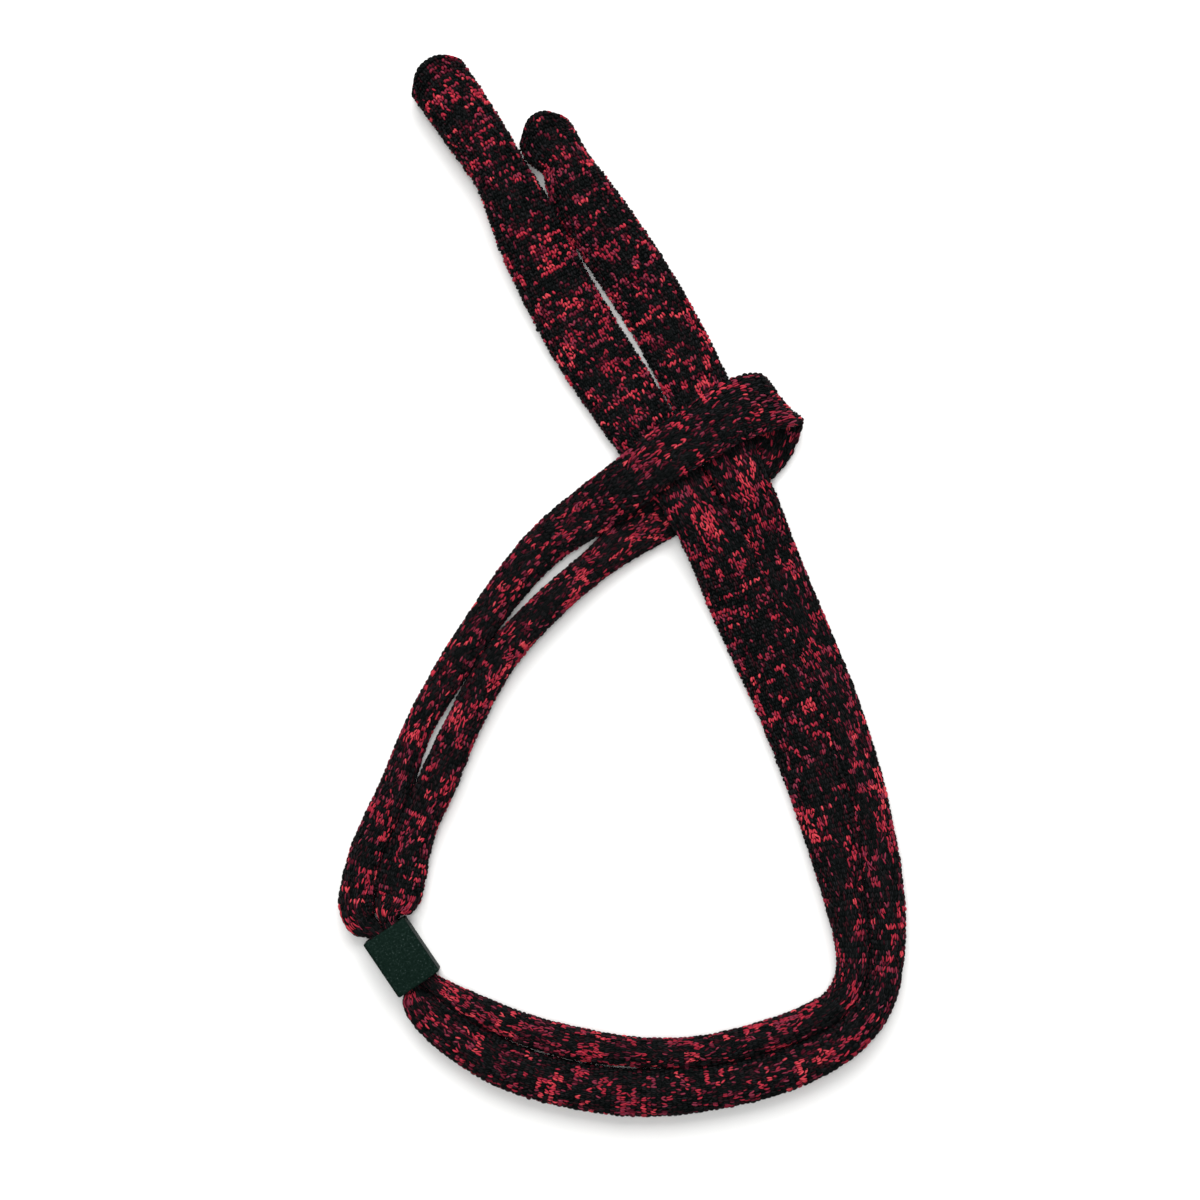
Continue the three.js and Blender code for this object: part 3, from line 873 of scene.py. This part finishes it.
# Name, the stretches it starts with and stops before, the bodies at its two ends, the
# stretches between whose starts it passes from one body to the other, whether it is
# hollow, and the CAD nodes it replaces.
KNITTED = [
    ("knit_sleeve_a", "temple_sleeve_a", "crossing_a", "sleeve_a", "strap",
     ("sleeve_neck_a", "crossing_a"), True, ["temple_sleeve_a", "sleeve_shank_a", "sleeve_neck_a"]),
    ("knit_right_a", "crossing_a", "corner_a", "strap", "strap",
     None, False, ["crossing_a", "right_run_a"]),
    ("knit_bottom_a", "corner_a", "slack_above_slider_a", "strap", "slider",
     ("bottom_run_a", "strand_in_slider_a"), False,
     ["corner_a", "bottom_run_a", "slack_below_slider_a", "strand_in_slider_a"]),
    ("knit_left_a", "slack_above_slider_a", "hitch_under_layer", "slider", "strap",
     ("slack_above_slider_a", "hitch_under_layer"), False,
     ["slack_above_slider_a", "left_run_a"]),
    ("knit_hitch", "hitch_under_layer", "left_run_b", "strap", "strap",
     None, False, ["hitch_under_layer", "hitch_fold", "hitch_over_band"]),
    ("knit_left_b", "left_run_b", "slack_below_slider_b", "strap", "slider",
     ("left_run_b", "strand_in_slider_b"), False,
     ["left_run_b", "slack_above_slider_b", "strand_in_slider_b"]),
    ("knit_bottom_b", "slack_below_slider_b", "right_run_b", "slider", "strap",
     ("slack_below_slider_b", "corner_b"), False,
     ["slack_below_slider_b", "bottom_run_b", "corner_b"]),
    ("knit_right_b", "right_run_b", "sleeve_neck_b", "strap", "strap",
     None, False, ["right_run_b", "crossing_b"]),
    ("knit_sleeve_b", "sleeve_neck_b", "sleeve_hem_b", "strap", "sleeve_b",
     ("sleeve_neck_b", "sleeve_shank_b"), True,
     ["sleeve_neck_b", "sleeve_shank_b", "temple_sleeve_b"]),
]
BORE_SHOWN = 0.014         # how far the wrong side's stitches go in from each mouth


def make_hem(name, start, end, inward, body, node_name):
    knit = Knit()
    mouth = start if inward > 0 else end
    knit_courses(knit, *course_range(start, end))
    purl_courses(knit, *course_range(start, end))
    inset = 0.0003
    backing(knit, start + inset * (inward > 0), end - inset * (inward < 0), hollow=True)
    bind_off(knit, mouth, inward)
    hem = knit.make(name, hem_jersey)
    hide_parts(node_name)
    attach(hem, body)
    return hem


def make_knitted(name, first, last, before, after, turning, hollow, nodes, with_pieces=()):
    knit = Knit()
    start, end = length_at(first), length_at(last)
    knit_courses(knit, *course_range(start, end))
    if hollow and before != "strap":
        purl_courses(knit, *course_range(start, start + BORE_SHOWN))
    elif hollow:
        purl_courses(knit, *course_range(end - BORE_SHOWN, end))
    backing(knit, start, end, hollow)
    piece = knit.make(name, jersey)
    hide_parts(*nodes)
    if turning:
        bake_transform(piece)
    else:
        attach(piece, before)


hem_a = make_hem("hem_a", 0, length_at("temple_sleeve_a"), 1, "sleeve_a", "sleeve_hem_a")
hem_b = make_hem("hem_b", length_at("sleeve_hem_b"), TUBE_LENGTH, -1, "sleeve_b", "sleeve_hem_b")
hems = {"knit_sleeve_a": [hem_a], "knit_sleeve_b": [hem_b]}
for row in KNITTED:
    make_knitted(*row, with_pieces=hems.get(row[0], ()))

# ---------------------------------------------------------------- the slider

SLIDER_CENTRE = (-0.04257, -0.03258)
SLIDER_TURN = math.radians(4)
SLIDER_LENGTH, SLIDER_WIDTH, SLIDER_HEIGHT = 0.0093, 0.0071, 0.0062
SLIDER_WALL = 0.00085
SLIDER_CORNER, SLIDER_BEVEL = 0.0006, 0.0003
PASSAGE_CORNER = 0.0005
CORNER_STEPS = 8


def rounded_ring(width, height, radius, y):
    ring = []
    for centre_x, centre_z, first in ((1, 1, 0), (-1, 1, 90), (-1, -1, 180), (1, -1, 270)):
        for step in range(CORNER_STEPS + 1):
            angle = math.radians(first + 90 * step / CORNER_STEPS)
            x = centre_x * (width / 2 - radius) + radius * math.cos(angle)
            z = centre_z * (height / 2 - radius) + radius * math.sin(angle)
            ring.append((x, y, z + SLIDER_HEIGHT / 2))
    return ring


def make_slider():
    """A short rectangular sleeve with rounded ends and one passage for both strands."""
    rings = []
    half = SLIDER_LENGTH / 2
    turns = [math.radians(90 * k / 4) for k in range(5)]
    for end in (-1, 1):
        outer = []
        for a in turns:
            inset = SLIDER_BEVEL * (1 - math.sin(a))
            y = end * (half - SLIDER_BEVEL * (1 - math.cos(a)))
            outer.append(rounded_ring(SLIDER_WIDTH - 2 * inset, SLIDER_HEIGHT - 2 * inset,
                                      SLIDER_CORNER - inset, y))
        rings += outer if end < 0 else outer[::-1]
    for end in (1, -1):
        inner = []
        for a in turns:
            flare = 0.6 * SLIDER_BEVEL * (1 - math.sin(a))
            y = end * (half - 0.6 * SLIDER_BEVEL * (1 - math.cos(a)))
            inner.append(rounded_ring(SLIDER_WIDTH - 2 * SLIDER_WALL + 2 * flare,
                                      SLIDER_HEIGHT - 2 * SLIDER_WALL + 2 * flare,
                                      PASSAGE_CORNER + flare, y))
        rings += inner if end > 0 else inner[::-1]
    sides = len(rings[0])
    vertices = [p for ring in rings for p in ring]
    faces = []
    for r in range(len(rings)):
        near, far = r * sides, (r + 1) % len(rings) * sides
        for k in range(sides):
            n = (k + 1) % sides
            faces.append((near + k, far + k, far + n, near + n))
    mesh = bpy.data.meshes.new("slider_body")
    mesh.from_pydata(vertices, [], faces)
    mesh.polygons.foreach_set("use_smooth", [True] * len(faces))
    mesh.update()
    mesh.materials.append(slider_material())
    slider = bpy.data.objects.new("slider_body", mesh)
    slider.location = (*SLIDER_CENTRE, 0)
    slider.rotation_euler = (0, 0, SLIDER_TURN)
    bpy.context.scene.collection.objects.link(slider)
    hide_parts("slider")
    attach(slider, "slider")


make_slider()

# ---------------------------------------------------------------- table and light

def make_floor():
    mesh = bpy.data.meshes.new("table_top")
    reach = 2.0
    corners = [(-reach, -reach, 0), (reach, -reach, 0), (reach, reach, 0), (-reach, reach, 0)]
    mesh.from_pydata(corners, [], [(0, 1, 2, 3)])
    material, _, shader = new_material("table_white")
    shader.inputs["Base Color"].default_value = (0.93, 0.93, 0.92, 1)
    shader.inputs["Roughness"].default_value = 0.9
    mesh.materials.append(material)
    floor = bpy.data.objects.new("table_top", mesh)
    floor.location = (0, 0, -0.0002)
    bpy.context.scene.collection.objects.link(floor)


def make_light(name, direction, distance, size, power):
    """A square soft box that faces the object's middle from direction."""
    data = bpy.data.lights.new(name, "AREA")
    data.size = size
    data.energy = power
    light = bpy.data.objects.new(name, data)
    away = np.array(direction) / np.linalg.norm(direction)
    light.location = away * distance
    light.rotation_euler = light.location.to_track_quat("Z", "Y").to_euler()
    bpy.context.scene.collection.objects.link(light)


def make_world():
    world = bpy.data.worlds.new("studio")
    world.use_nodes = True
    background = world.node_tree.nodes["Background"]
    background.inputs["Color"].default_value = (1, 1, 1, 1)
    background.inputs["Strength"].default_value = 0.20
    bpy.context.scene.world = world


make_floor()
make_world()
make_light("key", (0.375, 0.65, 1.0), 1.4, 1.0, 21.0)
make_light("overhead", (-0.05, 0.0, 1.0), 1.6, 0.6, 12.0)
bpy.context.scene.view_settings.view_transform = "Standard"
